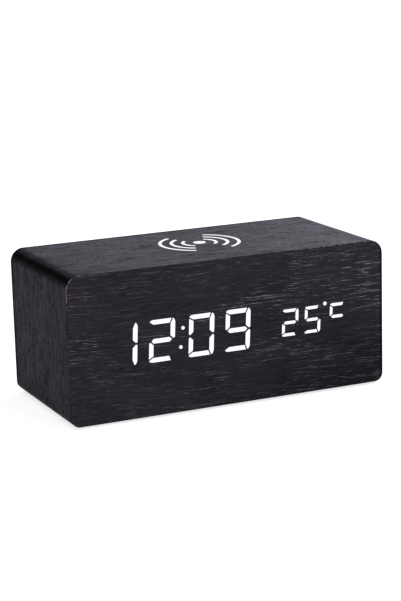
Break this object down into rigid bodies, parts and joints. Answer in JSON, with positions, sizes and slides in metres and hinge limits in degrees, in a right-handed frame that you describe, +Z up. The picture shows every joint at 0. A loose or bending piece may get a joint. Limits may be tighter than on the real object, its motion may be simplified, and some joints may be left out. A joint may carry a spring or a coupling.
{
  "type": "digital alarm clock",
  "caption": "Dark wood-grain block clock: white light bars show time and temperature through the front, with a wireless charging pad in its top, rear buttons and a battery bay below.",
  "frame": {"origin": "on the surface that the clock stands on, under the middle of its box", "axes": "+X to the right as seen from the front, +Y to the rear, +Z up"},
  "size_m": [0.15, 0.07, 0.066],
  "materials": {
    "wood_grain_film": "near-black wood-grain film with fine pale pores, satin",
    "fibreboard": "raw brown fibreboard",
    "light_bar": "milky white light guide, glowing white when lit",
    "white_plastic": "moulded white",
    "black_plastic": "moulded black, fine texture",
    "foot_rubber": "matt black rubber",
    "circuit_board": "green solder mask",
    "chip_resin": "black resin",
    "bright_steel": "bright plated",
    "black_screw": "blackened",
    "coil_wire": "enamelled copper",
    "ferrite": "dull grey ferrite",
    "cell_jacket": "plain printed jacket",
    "red_insulation": "red wire insulation",
    "ribbon_cable": "grey ribbon"
  },
  "bodies": {
    "case": {"case_sleeve": "fibreboard", "case_film": "wood_grain_film", "front_board": "fibreboard", "front_film": "wood_grain_film", "rear_board": "fibreboard", "rear_film": "wood_grain_film", "foot_front_left": "foot_rubber", "foot_front_right": "foot_rubber", "foot_rear_left": "foot_rubber", "foot_rear_right": "foot_rubber", "rear_batten_left": "fibreboard", "rear_batten_right": "fibreboard", "rear_screw_lower_left": "black_screw", "rear_screw_lower_right": "black_screw", "rear_screw_upper_left": "black_screw", "rear_screw_upper_right": "black_screw", "display_reflector": "white_plastic", "time_light_guide": "light_bar", "temperature_light_guide": "light_bar", "display_board": "circuit_board", "display_screw_lower_left": "bright_steel", "display_screw_lower_right": "bright_steel", "display_screw_upper_left": "bright_steel", "display_screw_upper_right": "bright_steel", "clock_chip": "chip_resin", "quartz_crystal": "bright_steel", "charging_coil": "coil_wire", "ferrite_disc": "ferrite", "coil_carrier": "white_plastic", "charger_board": "circuit_board", "charger_screw_left": "bright_steel", "charger_screw_right": "bright_steel", "control_bracket": "black_plastic", "control_board": "circuit_board", "mode_switch": "chip_resin", "up_switch": "chip_resin", "down_switch": "chip_resin", "power_socket": "bright_steel", "alarm_buzzer": "black_plastic", "sound_sensor": "bright_steel", "temperature_sensor": "chip_resin", "battery_box": "black_plastic", "battery_1": "cell_jacket", "battery_2": "cell_jacket", "battery_3": "cell_jacket", "negative_contact": "bright_steel", "link_contact_right": "bright_steel", "link_contact_left": "bright_steel", "positive_contact": "bright_steel", "battery_lead_negative": "chip_resin", "battery_lead_positive": "red_insulation", "display_ribbon": "ribbon_cable"},
    "mode_button": {"mode_button": "black_plastic", "mode_plunger": "black_plastic"},
    "up_button": {"up_button": "black_plastic", "up_plunger": "black_plastic"},
    "down_button": {"down_button": "black_plastic", "down_plunger": "black_plastic"},
    "battery_door": {"battery_door": "black_plastic"}
  },
  "joints": [
    {"name": "mode_press", "type": "slide", "parent": "case", "child": "mode_button", "axis": [0, -1, 0], "range_m": [0, 0.0005], "stiffness_N_per_m": 3200},
    {"name": "up_press", "type": "slide", "parent": "case", "child": "up_button", "axis": [0, -1, 0], "range_m": [0, 0.0005], "stiffness_N_per_m": 3200},
    {"name": "down_press", "type": "slide", "parent": "case", "child": "down_button", "axis": [0, -1, 0], "range_m": [0, 0.0005], "stiffness_N_per_m": 3200},
    {"name": "battery_door_swing", "type": "hinge", "parent": "case", "child": "battery_door", "pos_m": [-0.0251, 0, 0.0012], "axis": [0, 1, 0], "range_deg": [0, 90]}
  ]
}
